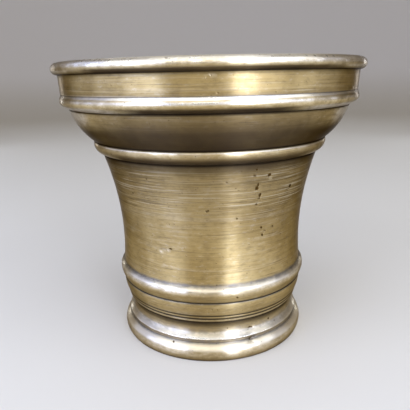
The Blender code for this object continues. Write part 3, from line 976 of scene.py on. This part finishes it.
def build_plug():
    """The plug's top carries the floor's curve on to the axis. Its edges are rounded by a quarter
    circle, and its side leans in towards the underside."""
    top = PLUG_RADIUS - CLEARANCE
    flat_top, flat_foot = top - PLUG_EDGE, top - PLUG_TAPER - PLUG_EDGE
    across = np.linspace(0.06, 1, 22)
    quarter = np.radians(np.linspace(0, 90, 7))
    sine, cosine = np.sin(quarter), np.cos(quarter)
    radius = np.concatenate([
        across * flat_top, flat_top + PLUG_EDGE * sine[1:],
        flat_foot + PLUG_EDGE * cosine, across[::-1][1:] * flat_foot,
    ])[:, None]
    height = np.concatenate([
        floor_height(across * flat_top), floor_height(flat_top) - PLUG_EDGE * (1 - cosine[1:]),
        RECESS_DEPTH + PLUG_EDGE * (1 - sine), np.full(len(across) - 1, RECESS_DEPTH),
    ])[:, None]
    turn = np.arange(PLUG_SIDES) * math.tau / PLUG_SIDES
    x, y = radius * np.cos(turn), radius * np.sin(turn)
    dent = hammered(x, y) * step_up(top - radius, 0.2 * MM, 1.5 * MM)
    on_top = height > (RECESS_DEPTH + FLOOR_THICKNESS) / 2
    mesh = ringed_mesh("hammered_plug", np.stack([x, y, height + np.where(on_top, -dent, dent)], 2))
    shown("hammered_plug", mesh, plug_bronze(), "floor_plug")


def build_chaplet(index, finish):
    """An iron bar whose top follows the bowl's floor and falls off towards its rusted edges."""
    across, edge = np.linspace(0.08, 0.9, 12), np.array([0.96, 0.99, 1])
    share = np.concatenate([across, edge, edge[::-1], np.linspace(0.9, 0.08, 8)])
    fall = np.concatenate([0.10 * np.linspace(0, 1, len(across)) ** 3, [0.16, 0.24, 0.36]])[:, None] * MM
    lift = np.array([0.3, 0.12, 0.04])[:, None] * MM
    split = len(fall)

    def height(x, y):
        pitting = 0.05 * MM * (1 + np.sin(x / (0.23 * MM)) * np.sin(y / (0.29 * MM) + index))
        upper = floor_height(np.hypot(x, y)) - 0.02 * MM - pitting
        upper[:split] -= fall
        lower = RECESS_DEPTH + pitting
        lower[split:split + len(lift)] += lift
        return np.concatenate([upper[:split], lower[split:]])

    mesh = ringed_mesh("iron_chaplet_%d" % (index + 1), square_bar(index, CHAPLET_SIDE / 2, share, height))
    shown(mesh.name, mesh, finish, "core_chaplet_%d" % (index + 1))


build_casting()
build_plug()
rusted = iron()
for chaplet in range(CHAPLET_COUNT):
    build_chaplet(chaplet, rusted)


# The studio, in metres: a pale cove all round, soft lamps and a dim even sky
FLOOR_PAPER = (0.67, 0.63, 0.55)
WALL_PAPER = (0.84, 0.81, 0.77)
FLOOR_RINGS = np.array([0.002, 0.2, 0.5, 0.9])
FLOOR_RADIUS = 1.3
COVE_BEND = 0.9
WALL_TOP = 1.3
COVE_SIDES = 128


def cove():
    """A flat floor that curves up into a low wall all round, as a quarter circle in outline."""
    bend = np.radians(np.linspace(-90, 0, 24))
    wall = FLOOR_RADIUS + COVE_BEND
    radius = np.concatenate([FLOOR_RINGS, FLOOR_RADIUS + COVE_BEND * np.cos(bend), [wall]])
    height = np.concatenate([0 * FLOOR_RINGS, COVE_BEND + COVE_BEND * np.sin(bend), [WALL_TOP]])
    turn = np.arange(COVE_SIDES) * math.tau / COVE_SIDES
    x, y = radius[:, None] * np.cos(turn), radius[:, None] * np.sin(turn)
    mesh = ringed_mesh("studio_cove", np.stack([x, y, height[:, None] * np.ones_like(x)], 2), open_end=True)
    made, tree, shader = new_finish("pale_paper")
    level = put(tree, "SeparateXYZ", {0: place(tree)}).outputs[2]
    colour = mixed(tree, rise(tree, level, 0.0, 0.15), FLOOR_PAPER, WALL_PAPER)
    tree.links.new(colour, shader.inputs["Base Color"])
    shader.inputs["Roughness"].default_value = 0.9
    shader.inputs["Specular IOR Level"].default_value = 0.2
    mesh.materials.append(made)
    piece = in_scene("studio_cove", mesh)


LAMP_TARGET = Vector((0, 0, 0.07))
DAYLIGHT = (0.90, 1.0, 1.20)
COOL_DAYLIGHT = (0.86, 1.01, 1.5)
NEUTRAL = (0.97, 1.0, 1.06)
SKYLIGHT = (0.84, 1.05, 1.85)

# Name, azimuth and elevation in degrees, distance, width and height in metres, glow and tint
LAMPS = (
    ("top_softbox", 0, 37, 1.0, 0.9, 0.5, 2.7, NEUTRAL),
    ("top_left_softbox", -55, 36, 1.0, 0.8, 0.5, 2.2, DAYLIGHT),
    ("top_right_softbox", 58, 36, 1.0, 0.85, 0.5, 2.0, DAYLIGHT),
    ("overhead_softbox", 0, 80, 1.0, 0.9, 0.6, 1.3, DAYLIGHT),
    ("back_softbox", 180, 42, 1.0, 0.9, 0.4, 1.0, DAYLIGHT),
    ("right_strip", 24, 9, 0.8, 0.24, 0.36, 9.6, COOL_DAYLIGHT),
    ("right_fade_softbox", 42, 9, 0.8, 0.22, 0.36, 3.1, COOL_DAYLIGHT),
    ("right_softbox", 64, 9, 0.8, 0.4, 0.36, 1.2, COOL_DAYLIGHT),
    ("right_side_softbox", 90, 14, 0.9, 0.35, 0.5, 0.6, COOL_DAYLIGHT),
    ("left_softbox", -46, 9, 0.8, 0.4, 0.36, 3.8, SKYLIGHT),
    ("left_fade_softbox", -74, 9, 0.8, 0.3, 0.36, 1.8, SKYLIGHT),
    ("left_side_softbox", -98, 20, 0.9, 0.55, 0.7, 0.6, SKYLIGHT),
    ("left_edge_lamp", -139, 4, 0.8, 0.06, 0.2, 4.5, DAYLIGHT),
    ("right_edge_lamp", 139, 4, 0.8, 0.06, 0.2, 4.5, DAYLIGHT),
)


def lamp(name, azimuth, elevation, distance, width, tall, glow, tint):
    """A soft rectangular lamp, aimed at the bowl. Its azimuth is 0 at the camera and grows to the right,
    and its power is its glow times pi times its area."""
    light = bpy.data.lights.new(name, "AREA")
    light.shape = "RECTANGLE"
    light.size, light.size_y = width, tall
    light.color = tint
    light.energy = glow * math.pi * width * tall
    piece = in_scene(name, light)
    around, lift = math.radians(azimuth), math.radians(elevation)
    away = Vector((math.sin(around) * math.cos(lift), -math.cos(around) * math.cos(lift), math.sin(lift)))
    piece.location = LAMP_TARGET + away * distance
    piece.rotation_euler = away.to_track_quat("Z", "Y").to_euler()
    piece.visible_camera = False


cove()
for settings in LAMPS:
    lamp(*settings)

SKY_COLOUR = (1.0, 0.88, 0.70)
SKY_GLOW = 0.24
sky = bpy.data.worlds.new("even_sky")
sky.use_nodes = True
sky.node_tree.nodes["Background"].inputs[0].default_value = (*SKY_COLOUR, 1)
sky.node_tree.nodes["Background"].inputs[1].default_value = SKY_GLOW
bpy.context.scene.world = sky

view = bpy.context.scene.view_settings
view.view_transform = "Standard"

# The camera that fits the photograph: its place in metres, how far it looks down and how far it is
# rolled in degrees, and its sensor and focal length in mm
CAMERA_PLACE = (-0.00272, -0.220, 0.11845)
CAMERA_DOWN = 15.32
CAMERA_ROLL = -1.242
SENSOR_WIDTH = 36
FOCAL_LENGTH = 41.27
lens = bpy.data.cameras.new("camera")
lens.sensor_width = SENSOR_WIDTH
lens.lens = FOCAL_LENGTH
lens.clip_start = 0.01
camera = in_scene("camera", lens)
camera.matrix_world = (
    Matrix.Translation(CAMERA_PLACE)
    @ Matrix.Rotation(math.radians(90 - CAMERA_DOWN), 4, "X")
    @ Matrix.Rotation(math.radians(CAMERA_ROLL), 4, "Z")
)
bpy.context.scene.camera = camera
